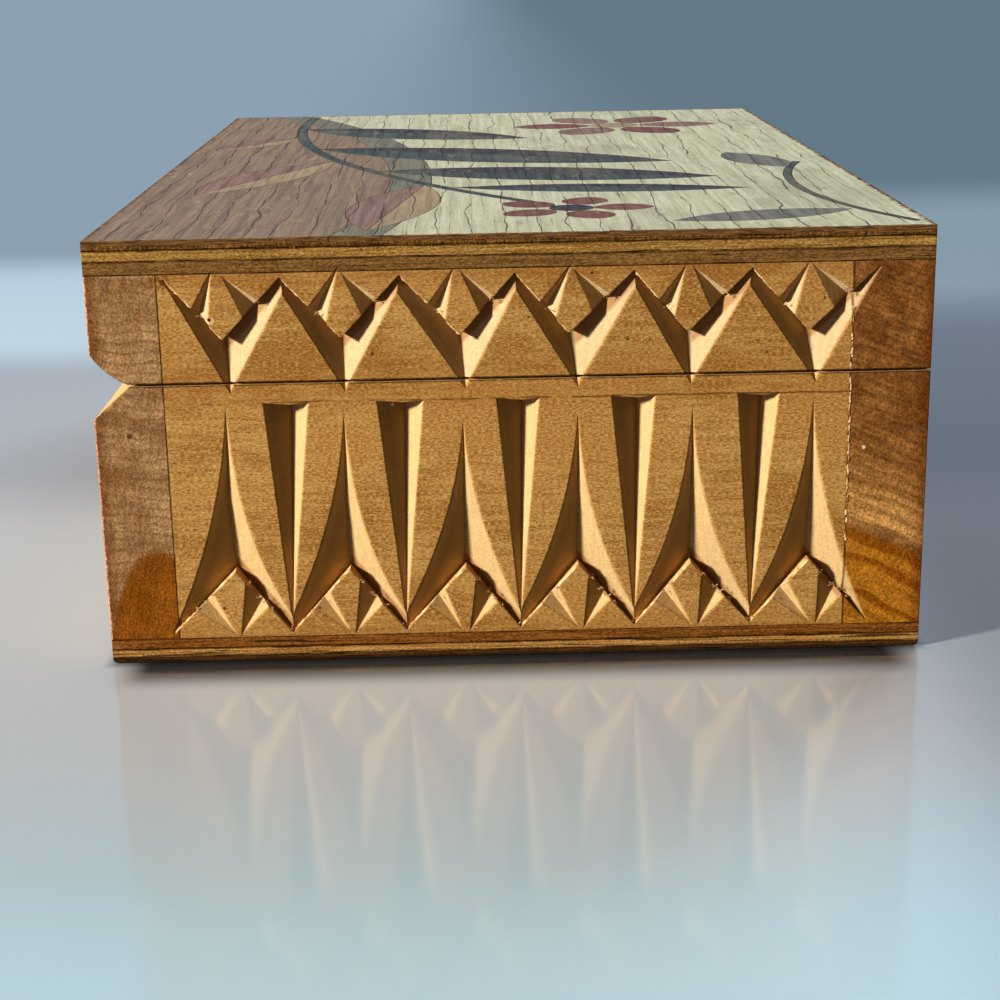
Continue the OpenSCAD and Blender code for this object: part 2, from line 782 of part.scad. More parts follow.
module twig_leaves(g) {
    for (i = [0:len(TWIG_LEAVES) - 1])
        at_twig_leaf(i) whole_leaf(TWIG_LEAVES[i][2], TWIG_LEAVES[i][3], TWIG_LEAVES[i][3], g);
}

// One petal of a blossom with n petals
module petal(i, n, at, centre_r, length, bulge, g) {
    drawn() translate(at) rotate(90 + i * 360 / n) translate([centre_r + glue_line, 0])
        whole_leaf(length, bulge, bulge, g);
}

module large_blossom_petal(i, g) {
    petal(i, large_petals, large_at, large_centre, large_petal, large_petal_bulge, g);
}

function small_at() = let (angle = arc_angle(stem_r, stem_to))
    on_arc(stem_low, stem_r, stem_to) + small_beyond * [cos(angle), sin(angle)];

module small_blossom_petal(i, g) {
    petal(i, small_petals, small_at(), small_centre, small_petal, small_petal_bulge, g);
}

module blossom_centre(at, r) {
    drawn() translate(at) circle(r);
}

module blossoms(g) {
    blossom_centre(large_at, large_centre + g);
    blossom_centre(small_at(), small_centre + g);
    for (i = [0:large_petals - 1]) large_blossom_petal(i, g);
    for (i = [0:small_petals - 1]) small_blossom_petal(i, g);
}

// Everything that is let into the ground
module motifs(g) {
    stem(g);
    twig(g);
    leaves(g);
    twig_leaves(g);
    blossoms(g);
}

// A piece of veneer on the lid
module veneer(colour) {
    color(colour) translate([0, 0, veneer_z]) linear_extrude(veneer_t) intersection() {
        lid_outline();
        children();
    }
}

module marquetry_mauve_ground() {
    veneer("rosybrown") difference() {
        ground_circle(ground_r);
        motifs(glue_line);
    }
}

module marquetry_grey_band() {
    veneer("dimgray") difference() {
        ground_circle(ground_r + band_w);
        ground_circle(ground_r + glue_line);
        motifs(glue_line);
    }
}

module marquetry_pale_ground() {
    veneer("beige") difference() {
        lid_outline();
        ground_circle(ground_r + band_w + glue_line);
        motifs(glue_line);
    }
}

module marquetry_stem() {
    veneer("darkslategray") difference() {
        stem(0);
        leaves(glue_line);
        blossoms(glue_line);
    }
}

module marquetry_twig() {
    veneer("darkslategray") difference() {
        twig(0);
        twig_leaves(glue_line);
    }
}

module leaf_piece(i, half) {
    veneer(half == "left" ? "darkslategray" : "slategray") at_leaf(i)
        if (half == "left") half_leaf(LEAVES[i][2], LEAVES[i][3], glue_line / 2, 0);
        else mirror([0, 1]) half_leaf(LEAVES[i][2], LEAVES[i][4], glue_line / 2, 0);
}

module twig_leaf(i) {
    veneer("gray") at_twig_leaf(i)
        whole_leaf(TWIG_LEAVES[i][2], TWIG_LEAVES[i][3], TWIG_LEAVES[i][3], 0);
}

module large_blossom_centre() {
    veneer("tan") blossom_centre(large_at, large_centre);
}

module small_blossom_centre() {
    veneer("black") blossom_centre(small_at(), small_centre);
}

base_front_wall();
base_back_wall();
base_right_end();
base_left_end();
bottom_inner_ply();
bottom_core_ply();
bottom_outer_ply();
lid_front_wall();
lid_back_wall();
lid_right_end();
lid_left_end();
lid_inner_ply();
lid_core_ply();
lid_outer_ply();
base_hinge_leaf_left();
base_hinge_leaf_right();
lid_hinge_leaf_left();
lid_hinge_leaf_right();
hinge_pin_left();
hinge_pin_right();
base_hinge_screws();
lid_hinge_screws();
marquetry_mauve_ground();
marquetry_grey_band();
marquetry_pale_ground();
marquetry_stem();
marquetry_twig();
large_blossom_centre();
small_blossom_centre();
for (i = [0:len(LEAVES) - 1]) for (half = ["left", "right"])
    leaf_piece(i, half);
for (i = [0:len(TWIG_LEAVES) - 1])
    twig_leaf(i);
for (i = [0:large_petals - 1])
    veneer(i % 2 == 0 ? "indianred" : "rosybrown") large_blossom_petal(i, 0);
for (i = [0:small_petals - 1])
    veneer("brown") small_blossom_petal(i, 0);
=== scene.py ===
"""Looks of a hinged wooden trinket box with chip carving and a marquetry lid.

Everything is in metres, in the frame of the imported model. Patterns are worked out in millimetres.
"""

import math
import random

import bpy
from mathutils import Matrix, Vector


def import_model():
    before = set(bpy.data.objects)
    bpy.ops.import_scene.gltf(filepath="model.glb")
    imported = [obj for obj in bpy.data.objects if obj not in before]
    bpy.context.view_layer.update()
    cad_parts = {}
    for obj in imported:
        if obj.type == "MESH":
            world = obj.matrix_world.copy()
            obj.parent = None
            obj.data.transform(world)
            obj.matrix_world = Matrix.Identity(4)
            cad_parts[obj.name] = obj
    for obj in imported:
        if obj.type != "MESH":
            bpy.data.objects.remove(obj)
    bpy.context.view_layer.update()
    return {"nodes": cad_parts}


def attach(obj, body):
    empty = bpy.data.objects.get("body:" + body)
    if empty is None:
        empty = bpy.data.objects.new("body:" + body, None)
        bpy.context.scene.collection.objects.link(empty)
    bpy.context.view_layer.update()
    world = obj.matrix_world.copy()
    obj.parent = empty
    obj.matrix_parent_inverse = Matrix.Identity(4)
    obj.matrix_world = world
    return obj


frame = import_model()
nodes = frame["nodes"]

# Sizes of the box in millimetres
HALF_L, HALF_W = 80.0, 50.0
FRONT_JOINT, BACK_JOINT = -41.5, 40.5
BOTTOM_T, SEAM, LID_Z, LID_TOP = 3.3, 35.2, 35.5, 48.5
OUTER_PLY_Z, TOP_Z = 51.4, 52.6
# No cut of the carving is as deep as this
CARVED = 3.2

# The carving's repeats along Y
REPEATS, PITCH, BAND_START = 6, 13.933, -41.0
# It crosses the back joint in this much of the base's height from below, and of the lid's from above
SPIKE_CROSSING, V_CROSSING = 11.0, 5.0


def row(share, wander):
    """Places along Y at a share of each repeat, each moved by its own small departure."""
    return [BAND_START + (i + share) * PITCH + w for i, w in enumerate(wander)]


V_TOPS = row(0, (0.3, -0.05, 0.05, -0.3, -0.2, -0.2, 1.0))
V_NOTCHES = row(0.5, (-0.05, 0.0, 0.15, -0.85, -0.75, -0.35))
FEET = row(0, (-1.3, -0.45, -0.35, -0.2, -0.1, 0.25, 0.7))
LEG_NOTCHES = row(0.5, (-0.25, -0.1, 0.2, 0.05, -0.1, 0.45))
V_TOP_Z, V_NOTCH_Z = LID_TOP - 0.5, LID_TOP - 7.85
FOOT_Z, LEG_NOTCH_Z = BOTTOM_T + 0.5, BOTTOM_T + 8.45


def srgb(r, g, b):
    """A colour seen on a screen, 0 to 255, as Blender wants it."""
    def linear(c):
        c /= 255
        return c / 12.92 if c <= 0.04045 else ((c + 0.055) / 1.055) ** 2.4
    return (linear(r), linear(g), linear(b), 1.0)


class Shader:
    """A material under construction: each method adds a node and returns its output."""

    def __init__(self, name):
        self.mat = bpy.data.materials.new(name)
        self.mat.use_nodes = True
        self.tree = self.mat.node_tree
        self.bsdf = self.tree.nodes["Principled BSDF"]
        coords = self.tree.nodes.new("ShaderNodeTexCoord")
        self.p = self.vmath("SCALE", coords.outputs["Object"], scale=1000.0)
        self.x, self.y, self.z = self.split(self.p)
        # How far the surface faces the back, either end, and up or down
        to_end, self.back, to_top = self.split(coords.outputs["Normal"])
        self.nx = self.math("ABSOLUTE", to_end)
        self.nz = self.math("ABSOLUTE", to_top)

    def put(self, socket, value):
        if isinstance(value, bpy.types.NodeSocket):
            self.tree.links.new(value, socket)
        else:
            socket.default_value = value

    def math(self, op, a, b=None, c=None, clamp=False):
        n = self.tree.nodes.new("ShaderNodeMath")
        n.operation = op
        n.use_clamp = clamp
        for socket, value in zip(n.inputs, (a, b, c)):
            if value is not None:
                self.put(socket, value)
        return n.outputs[0]

    def add(self, a, b):
        return self.math("ADD", a, b)

    def sub(self, a, b):
        return self.math("SUBTRACT", a, b)

    def mul(self, a, b):
        return self.math("MULTIPLY", a, b)

    def low(self, *values):
        out = values[0]
        for v in values[1:]:
            out = self.math("MINIMUM", out, v)
        return out

    def high(self, *values):
        out = values[0]
        for v in values[1:]:
            out = self.math("MAXIMUM", out, v)
        return out

    def vmath(self, op, a, b=None, scale=None):
        n = self.tree.nodes.new("ShaderNodeVectorMath")
        n.operation = op
        self.put(n.inputs[0], a)
        if b is not None:
            self.put(n.inputs[1], b)
        if scale is not None:
            self.put(n.inputs["Scale"], scale)
        return n.outputs["Value"] if op in ("LENGTH", "DISTANCE") else n.outputs[0]

    def split(self, v):
        n = self.tree.nodes.new("ShaderNodeSeparateXYZ")
        self.put(n.inputs[0], v)
        return n.outputs[0], n.outputs[1], n.outputs[2]

    def join(self, x, y, z):
        n = self.tree.nodes.new("ShaderNodeCombineXYZ")
        for socket, value in zip(n.inputs, (x, y, z)):
            self.put(socket, value)
        return n.outputs[0]

    def stretched(self, kx, ky, kz, seed=0.0, p=None):
        """The place in millimetres times a factor each way, moved by a seed."""
        q = self.vmath("MULTIPLY", p or self.p, (kx, ky, kz))
        return self.vmath("ADD", q, (17.3 * seed, -9.1 * seed, 5.7 * seed))

    def noise(self, q, scale, detail=2.0, rough=0.5, distortion=0.0):
        n = self.tree.nodes.new("ShaderNodeTexNoise")
        self.put(n.inputs["Vector"], q)
        n.inputs["Scale"].default_value = scale
        n.inputs["Detail"].default_value = detail
        n.inputs["Roughness"].default_value = rough
        n.inputs["Distortion"].default_value = distortion
        return n.outputs["Fac"]

    def cells(self, q, scale, feature="F1", randomness=1.0):
        n = self.tree.nodes.new("ShaderNodeTexVoronoi")
        n.feature = feature
        self.put(n.inputs["Vector"], q)
        n.inputs["Scale"].default_value = scale
        n.inputs["Randomness"].default_value = randomness
        return n.outputs["Distance"]

    def step(self, value, start, end, low=0.0, high=1.0):
        """A smooth step from low to high as the value goes from start to end."""
        n = self.tree.nodes.new("ShaderNodeMapRange")
        n.interpolation_type = "SMOOTHSTEP"
        names = ("Value", "From Min", "From Max", "To Min", "To Max")
        for name, v in zip(names, (value, start, end, low, high)):
            self.put(n.inputs[name], v)
        return n.outputs[0]

    def mix(self, fac, a, b, blend="MIX"):
        n = self.tree.nodes.new("ShaderNodeMix")
        n.data_type = "RGBA"
        n.blend_type = blend
        n.clamp_result = False
        self.put(n.inputs["Factor"], fac)
        # Inputs 6 and 7 are the two colours, and output 2 is the mixed one
        self.put(n.inputs[6], a)
        self.put(n.inputs[7], b)
        return n.outputs[2]

    def shade(self, colour, factor):
        """A colour made darker or lighter by a grey factor."""
        grey = self.tree.nodes.new("ShaderNodeCombineColor")
        for i in range(3):
            self.put(grey.inputs[i], factor)
        return self.mix(1.0, colour, grey.outputs[0], "MULTIPLY")

    def bump(self, height, distance, strength=1.0, normal=None):
        n = self.tree.nodes.new("ShaderNodeBump")
        n.inputs["Strength"].default_value = strength
        n.inputs["Distance"].default_value = distance
        self.put(n.inputs["Height"], height)
        if normal is not None:
            self.put(n.inputs["Normal"], normal)
        return n.outputs[0]

    def rounded(self, radius):
        """A normal that turns over the edges, as on worn arrises."""
        n = self.tree.nodes.new("ShaderNodeBevel")
        # The bevel's own samples, not the render's
        n.samples = 6
        n.inputs["Radius"].default_value = radius
        return n.outputs[0]

    def finish(self, colour, roughness, normal=None, specular=0.5, metallic=0.0, coat=0.0):
        self.put(self.bsdf.inputs["Base Color"], colour)
        self.put(self.bsdf.inputs["Roughness"], roughness)
        self.put(self.bsdf.inputs["Specular IOR Level"], specular)
        self.bsdf.inputs["Metallic"].default_value = metallic
        self.bsdf.inputs["Coat Weight"].default_value = coat
        if normal is not None:
            self.put(self.bsdf.inputs["Normal"], normal)
        return self.mat


def dress(material, *names):
    """Puts a material on CAD nodes."""
    for name in names:
        data = nodes[name].data
        data.materials.clear()
        data.materials.append(material)


# Wood

def fibres(s, along, seed):
    """Wood along an axis: a broad tone, an even figure and fine short flecks, each about 0.5."""
    long = {"x": (0.10, 1, 1), "y": (1, 0.10, 1)}[along]
    short = {"x": (0.42, 1, 1), "y": (1, 0.42, 1)}[along]
    broad = s.noise(s.stretched(0.6, 0.6, 1, seed=seed), 0.13, 2.0)
    figure = s.noise(s.stretched(*long, seed=seed), 1.5, 4.0, 0.7, 0.3)
    flecks = s.noise(s.stretched(*short, seed=seed + 3), 5.0, 2.0, 0.8)
    return broad, figure, flecks


def rings(s, pith_y, pith_z, spacing, seed):
    """Growth rings about a pith line along X, and the pores between them."""
    wobble = s.noise(s.stretched(0.05, 1, 1, seed=seed), 0.12, 2.0)
    r = s.vmath("LENGTH", s.join(0.0, s.sub(s.y, pith_y), s.sub(s.z, pith_z)))
    r = s.add(r, s.mul(s.sub(wobble, 0.5), 3.4))
    phase = s.math("FRACT", s.math("DIVIDE", r, spacing))
    ring = s.step(phase, 0.55, 1.0)
    return ring, r


def joint_line(s, place, width):
    """Dark along a glued joint that is seen on the ends."""
    wander = s.mul(s.sub(s.noise(s.p, 0.9, 2.0), 0.5), 0.16)
    off = s.math("ABSOLUTE", s.sub(s.add(s.y, wander), place))
    patchy = s.step(s.noise(s.stretched(1, 1, 1, seed=place), 0.8, 2.0), 0.30, 0.60, 0.45, 1.0)
    return s.mul(s.mul(s.step(off, width, width * 0.3), patchy), s.step(s.nx, 0.6, 0.9))


def spot(s, y, z, r):
    """A round mark on the +X end, given its place and radius."""
    off = s.vmath("LENGTH", s.join(0.0, s.sub(s.y, y), s.sub(s.z, z)))
    near = s.step(s.x, HALF_L - CARVED, HALF_L - CARVED + 0.2)
    return s.mul(s.step(off, r, r * 0.6), near)


def end_grain(s, kind, fuzz, seed):
    """The sawn and varnished ends of the front and back boards: rings, rays, pores and amber stains."""
    pith = (-52.0, -34.0) if kind == "front" else (19.0, -38.0)
    ring, r = rings(s, pith[0], pith[1], 1.25 if kind == "front" else 1.7, seed)
    fine = s.noise(s.stretched(0.2, 1, 1, seed=seed + 1), 3.4, 2.0, 0.8)
    cloud = s.noise(s.stretched(0.1, 1, 1, seed=seed), 0.20, 3.0, 0.6)
    angle = s.math("ARCTAN2", s.sub(s.z, pith[1]), s.sub(s.y, pith[0]))
    rays = s.noise(s.join(s.mul(angle, 95.0), s.mul(r, 0.35), seed), 1.0, 2.0, 0.6)
    if kind == "front":
        band = s.noise(s.join(s.mul(r, 0.42), s.mul(angle, 2.2), seed), 1.0, 3.0, 0.55)
        tone = s.add(s.mul(cloud, 0.6), s.mul(band, 0.4))
        colour = s.mix(s.step(tone, 0.36, 0.64), srgb(144, 102, 63), srgb(190, 149, 104))
        colour = s.mix(s.mul(ring, s.step(cloud, 0.35, 0.6, 0.18, 0.46)), colour, srgb(104, 64, 34))
        # A stain with a rounded top, the redder worn edge towards the front, and a painted highlight along
        # the front arris
        top = s.sub(14.8, s.mul(s.math("POWER", s.math("ABSOLUTE", s.mul(s.add(s.y, 43.6), 0.19)), 2.4), 7.0))
        edge = s.add(s.z, s.mul(s.sub(fuzz, 0.5), 1.4))
        amber = s.step(edge, s.add(top, 0.6), s.sub(top, 0.9))
        stain = s.shade(srgb(144, 79, 8), s.step(cloud, 0.35, 0.65, 0.76, 1.14))
        colour = s.mix(s.mul(amber, 0.94), colour, stain)
        rim = s.add(s.add(s.y, HALF_W), s.mul(s.sub(fuzz, 0.5), 0.5))
        colour = s.mix(s.step(rim, 2.0, 0.2, 0.0, 0.62), colour, srgb(112, 56, 20))
        colour = s.mix(s.step(rim, 0.20, 0.10, 0.0, 0.9), colour, srgb(236, 160, 112))
    else:
        # Bands that fall towards the back: dark above, pale in the middle, amber below
        fall = s.add(s.z, s.mul(s.sub(s.y, BACK_JOINT), 0.42))
        band = s.noise(s.join(s.mul(r, 0.75), s.mul(angle, 1.5), seed), 1.0, 2.0, 0.5)
        colour = s.mix(s.step(cloud, 0.38, 0.64), srgb(122, 75, 32), srgb(154, 102, 52))
        warm = s.mul(s.step(fall, 30.0, 26.0), s.step(fall, 15.0, 19.0))
        colour = s.mix(s.mul(warm, 0.75), colour, srgb(156, 104, 50))
        pale = s.mul(s.step(fall, 27.0, 18.0), s.step(fall, 15.6, 17.0))
        colour = s.mix(s.mul(pale, s.step(band, 0.36, 0.60, 0.30, 0.95)), colour, srgb(210, 154, 88))
        colour = s.mix(s.mul(ring, s.step(cloud, 0.3, 0.6, 0.10, 0.34)), colour, srgb(96, 52, 18))
        lines = s.noise(s.join(s.mul(fall, 1.5), s.mul(s.y, 0.12), seed), 1.0, 3.0, 0.65)
        colour = s.shade(colour, s.step(lines, 0.32, 0.66, 0.72, 1.26))
        amber = s.step(s.add(fall, s.mul(s.sub(fuzz, 0.5), 1.2)), 16.6, 15.4)
        stain = s.mix(s.step(band, 0.40, 0.58), srgb(148, 82, 12), srgb(192, 124, 34))
        colour = s.mix(s.mul(amber, 0.94), colour, stain)
        colour = s.mix(s.step(s.sub(HALF_W, s.y), 2.2, 0.0, 0.0, 0.60), colour, srgb(108, 50, 12))
    colour = s.shade(colour, s.step(rays, 0.35, 0.68, 0.88, 1.16))
    colour = s.shade(colour, s.step(fine, 0.30, 0.70, 0.56, 1.46))
    return colour, ring, fine


def carved_wood(name, kind, seed):
    """The boards of the carcase: varnished and darkened outside, bare and pale where it is cut."""
    s = Shader(name)
    end_face = s.sub(HALF_L, s.math("ABSOLUTE", s.x))
    if kind == "panel":
        depth = end_face
    elif kind == "front":
        depth = s.low(end_face, s.add(s.y, HALF_W))
    else:
        depth = s.low(end_face, s.sub(HALF_W, s.y))
    along = "y" if kind == "panel" else "x"
    broad, figure, flecks = fibres(s, along, seed)
    fuzz = s.noise(s.p, 1.7, 3.0, 0.6)

    # The varnished outside, with golden flecks of the grain, the pale ones partly a painted sheen of the
    # varnish
    tone = s.add(s.mul(figure, 0.55), s.mul(broad, 0.5))
    coat = s.mix(s.step(tone, 0.41, 0.63), srgb(172, 119, 56), srgb(214, 166, 94))
    coat = s.mix(s.step(broad, 0.50, 0.68, 0.0, 0.45), coat, srgb(176, 110, 42))
    coat = s.mix(s.step(flecks, 0.50, 0.67, 0.0, 0.72), coat, srgb(240, 196, 124))
    coat = s.mix(s.step(flecks, 0.50, 0.33, 0.0, 0.66), coat, srgb(122, 72, 24))
    near_seam = s.step(s.math("ABSOLUTE", s.sub(s.z, SEAM)), 5.5, 0.5)
    near_rim = s.step(s.low(s.sub(s.z, BOTTOM_T), s.math("ABSOLUTE", s.sub(LID_TOP, s.z))), 3.0, 0.2)
    stain = s.mul(s.high(near_seam, near_rim), s.step(fuzz, 0.3, 0.7, 0.35, 1.0))
    coat = s.mix(s.mul(stain, 0.42), coat, srgb(160, 96, 32))
    above = s.step(s.z, LID_Z, LID_Z + 0.1)
    coat = s.shade(coat, s.sub(1.0, s.mul(above, 0.06)))

    # The bare wood of the cuts
    cut = s.mix(figure, srgb(216, 178, 120), srgb(230, 196, 140))
    cut = s.mix(s.mul(above, 0.45), cut, srgb(224, 200, 160))
    cut = s.shade(cut, s.step(flecks, 0.3, 0.7, 0.86, 1.12))
    knife = s.noise(s.stretched(1.0, 1.0, 0.10, seed=seed), 2.6, 2.0)
    cut = s.shade(cut, s.step(knife, 0.3, 0.7, 0.93, 1.06))
    # Painted shade: the cuts that face the back, away from the key lamp, take a darker, browner copy of the
    # cut wood, darker still on the lid, with a painted lighter edge where they come up to the face
    shaded_flank = s.mix(figure, srgb(166, 120, 60), srgb(186, 138, 74))
    shaded_flank = s.shade(shaded_flank, s.sub(1.0, s.mul(above, 0.22)))
    shaded_flank = s.shade(shaded_flank, s.step(depth, 0.0, 0.9, 1.7, 0.94))
    # Across one repeat of the carving: the flutes lie between the spikes, and painted shade makes their
    # back-facing cuts darker still
    u = s.mul(s.sub(s.math("FRACT", s.math("DIVIDE", s.sub(s.y, BAND_START), PITCH)), 0.5), PITCH)
    between = s.step(s.math("ABSOLUTE", u), 3.7, 4.5)
    flute = s.mul(between, s.mul(s.step(s.z, 12.0, 17.0), s.sub(1.0, above)))
    shaded_flank = s.shade(shaded_flank, s.sub(1.0, s.mul(flute, 0.42)))
    cut = s.mix(s.step(s.back, 0.15, 0.45, 0.0, 0.85), cut, shaded_flank)
    inside = s.mix(figure, srgb(150, 116, 74), srgb(172, 138, 92))
    bare = s.mix(s.step(depth, CARVED + 0.2, CARVED + 0.6), cut, inside)

    depth_in = s.add(depth, s.mul(s.sub(fuzz, 0.5), 0.10))
    is_cut = s.step(depth_in, 0.04, 0.16)
    rim = s.mul(s.step(depth_in, 0.02, 0.08), s.step(depth_in, 0.26, 0.12))
    rough = s.step(flecks, 0.3, 0.7, 0.46, 0.62)

    if kind != "panel":
        end_coat, ring, fine = end_grain(s, kind, fuzz, seed)
        is_end = s.step(s.nx, 0.75, 0.9)
        coat = s.mix(s.mul(s.step(ring, 0.2, 1.0), 0.16), coat, srgb(120, 72, 30))
        coat = s.mix(is_end, coat, end_coat)
        end_cut = s.mix(s.mul(ring, 0.3), s.shade(cut, 0.90), srgb(150, 104, 62))
        bare = s.mix(s.step(end_face, CARVED, CARVED - 0.4), bare, end_cut)
        rough = s.add(rough, s.mul(is_end, 0.12))

    colour = s.mix(is_cut, coat, bare)
    colour = s.mix(s.mul(rim, 0.25), colour, srgb(150, 96, 44))
    # Painted shadow: the shade that the steep walls of the carving cast on the cuts beside them, on the lid
    # and on the base
    right = s.step(u, -0.5, 0.1)
    lid_wall = s.math("DIVIDE", s.sub(s.mul(u, 1.065), s.sub(s.z, V_NOTCH_Z)), 1.46)
    under = s.mul(s.step(lid_wall, -0.4, 0.0), s.step(lid_wall, 1.4, 0.9))
    lid_painted_shadow = s.mul(s.mul(under, s.step(s.z, V_NOTCH_Z - 2.2, V_NOTCH_Z - 1.2)), above)
    base_wall = s.math("DIVIDE", s.add(s.mul(u, 1.14), s.sub(s.z, LEG_NOTCH_Z)), 1.516)
    over = s.mul(s.step(base_wall, -0.4, 0.0), s.step(base_wall, 1.1, 0.6))
    base_painted_shadow = s.mul(s.mul(over, s.step(s.z, LEG_NOTCH_Z + 1.6, LEG_NOTCH_Z + 0.8)), s.sub(1.0, above))
    on_end = s.step(end_face, CARVED, CARVED - 0.2)
    painted_shadow = s.mul(s.mul(s.high(lid_painted_shadow, base_painted_shadow), right), s.mul(is_cut, on_end))
    colour = s.mix(s.mul(painted_shadow, 0.60), colour, srgb(150, 84, 18))
    # The dark line of the saw cut: painted shade along the gap between base and lid
    seam_shade = s.step(s.math("ABSOLUTE", s.sub(s.z, (SEAM + LID_Z) / 2)), 0.36, 0.22)
    seam_shade = s.mul(s.mul(seam_shade, s.step(fuzz, 0.3, 0.6, 0.45, 0.85)), s.sub(1.0, is_cut))
    colour = s.mix(seam_shade, colour, srgb(64, 32, 12))

    # Joints, the layout line under the seam, pin holes
    lines = s.high(s.mul(joint_line(s, FRONT_JOINT, 0.20), 0.72), joint_line(s, BACK_JOINT, 0.22))
    colour = s.mix(s.mul(lines, 0.85), colour, srgb(84, 48, 18))
    marks = lines
    if kind == "panel":
        wave = s.mul(s.sub(s.noise(s.p, 0.12, 1.0), 0.5), 0.5)
        off = s.math("ABSOLUTE", s.sub(s.add(s.z, wave), SEAM - 2.3))
        here = s.step(s.add(s.noise(s.p, 0.35, 2.0), s.mul(s.y, 0.004)), 0.36, 0.56, 0.15, 1.0)
        scribed = s.mul(s.mul(s.step(off, 0.15, 0.04), here), s.step(end_face, 0.2, 0.1))
        colour = s.mix(s.mul(scribed, 0.75), colour, srgb(92, 52, 18))
        marks = s.high(marks, scribed)
        hole = spot(s, -35.5, 43.0, 0.55)
        colour = s.mix(hole, colour, srgb(232, 196, 142))
        colour = s.mix(spot(s, -35.6, 43.1, 0.30), colour, srgb(70, 40, 16))
        colour = s.mix(s.mul(spot(s, -41.0, 47.7, 1.3), s.step(fuzz, 0.40, 0.60)), colour, srgb(112, 66, 22))
        colour = s.mix(spot(s, -14.4, 32.1, 0.22), colour, srgb(236, 222, 210))
        marks = s.high(marks, hole)
    elif kind == "front":
        colour = s.mix(s.mul(spot(s, -45.9, 29.2, 0.42), 0.85), colour, srgb(72, 42, 18))
        colour = s.mix(s.mul(spot(s, -42.4, 47.8, 1.1), s.step(fuzz, 0.42, 0.60)), colour, srgb(140, 84, 26))
    else:
        colour = s.mix(spot(s, 42.3, 25.9, 0.28), colour, srgb(250, 232, 206))
    pits = s.cells(s.stretched(1, 1, 1, seed=seed + 7), 0.22)
    pits = s.mul(s.step(pits, 0.055, 0.03), s.step(depth, 0.3, 0.1))
    colour = s.mix(s.mul(pits, 0.8), colour, srgb(64, 38, 20))
    marks = s.high(marks, pits)

    height = s.add(s.mul(flecks, 0.45), s.mul(figure, 0.20))
    height = s.add(height, s.mul(knife, s.mul(is_cut, 0.35)))
    height = s.sub(height, s.mul(marks, 0.4))
    normal = s.bump(height, 0.00013, 0.8, s.rounded(0.00030 if kind == "front" else 0.00020))
    return s.finish(colour, s.add(rough, s.mul(is_cut, 0.22)), normal, specular=0.04)


def ply(name, layers, dark, light, seed, worn=0.0, shaggy=False):
    """A sheet of plywood: its edges with glue lines at given heights, and bare faces with grain along X."""
    s = Shader(name)
    run = s.add(s.x, s.y)
    q = s.join(s.mul(run, 0.09), 3.0 * seed, s.mul(s.z, 3.2))
    streak = s.noise(q, 1.0, 4.0, 0.65, 0.3)
    fine = s.noise(s.join(s.mul(run, 1.6), seed, s.mul(s.z, 4.5)), 1.6, 3.0, 0.75)
    edge = s.mix(s.step(s.add(s.mul(streak, 0.7), s.mul(fine, 0.35)), 0.38, 0.68), dark, light)
    edge = s.shade(edge, s.step(fine, 0.30, 0.70, 0.52, 1.50))
    glue = 0.0
    wave = s.mul(s.sub(s.noise(s.join(s.mul(run, 0.11), seed, 0.0), 1.0, 3.0), 0.5), 0.34)
    for z in layers:
        off = s.math("ABSOLUTE", s.sub(s.add(s.z, wave), z))
        glue = s.high(glue, s.step(off, 0.20, 0.05))
    patchy = s.noise(s.join(s.mul(run, 0.22), 9.0 + seed, 0.0), 1.0, 3.0)
    gap = s.mul(glue, s.step(patchy, 0.40, 0.60, 0.45, 1.0))
    crack = s.noise(s.join(s.mul(run, 0.07), 4.0 * seed, s.mul(s.z, 2.4)), 1.0, 2.0, 0.5, 0.8)
    crack = s.step(crack, 0.655 - worn, 0.69 - worn)
    if shaggy:
        # Short upright strokes of torn fibres
        strokes = s.noise(s.join(s.mul(run, 3.2), seed, s.mul(s.z, 0.9)), 1.0, 3.0, 0.75)
        edge = s.shade(edge, s.step(strokes, 0.34, 0.66, 0.45, 1.45))
        fine = s.high(fine, strokes)
    edge = s.mix(s.mul(gap, 0.92), edge, srgb(44, 22, 8))
    edge = s.mix(s.mul(crack, 0.85), edge, srgb(38, 20, 8))
    broad, figure, flecks = fibres(s, "x", seed)
    tone = s.step(s.add(s.mul(figure, 0.7), s.mul(broad, 0.4)), 0.35, 0.75)
    face = s.mix(tone, srgb(140, 104, 66), srgb(176, 140, 96))
    face = s.shade(face, s.step(flecks, 0.3, 0.7, 0.84, 1.14))
    # Rotary-cut figure: broad flame shapes and short dark pores
    flame = s.noise(s.stretched(0.16, 1, 1, seed=seed + 6), 0.09, 2.0, 0.5, 0.6)
    flame = s.math("ABSOLUTE", s.sub(s.math("FRACT", s.mul(flame, 11.0)), 0.5))
    face = s.shade(face, s.step(flame, 0.0, 0.5, 0.86, 1.08))
    pores = s.noise(s.stretched(0.10, 1, 1, seed=seed + 8), 3.2, 1.0)
    face = s.mix(s.step(pores, 0.66, 0.74, 0.0, 0.55), face, srgb(92, 60, 34))
    flat = s.step(s.nz, 0.6, 0.8)
    colour = s.mix(flat, edge, face)
    face_height = s.sub(s.add(s.mul(flecks, 0.4), s.mul(figure, 0.3)), s.mul(s.step(pores, 0.66, 0.74), 0.5))
    height = s.mix(flat, s.sub(s.mul(fine, 0.8), s.high(gap, crack)), face_height)
    normal = s.bump(height, 0.00016, 0.8, s.rounded(0.00020))
    return s.finish(colour, s.step(fine, 0.3, 0.7, 0.55, 0.75), normal, specular=0.06)


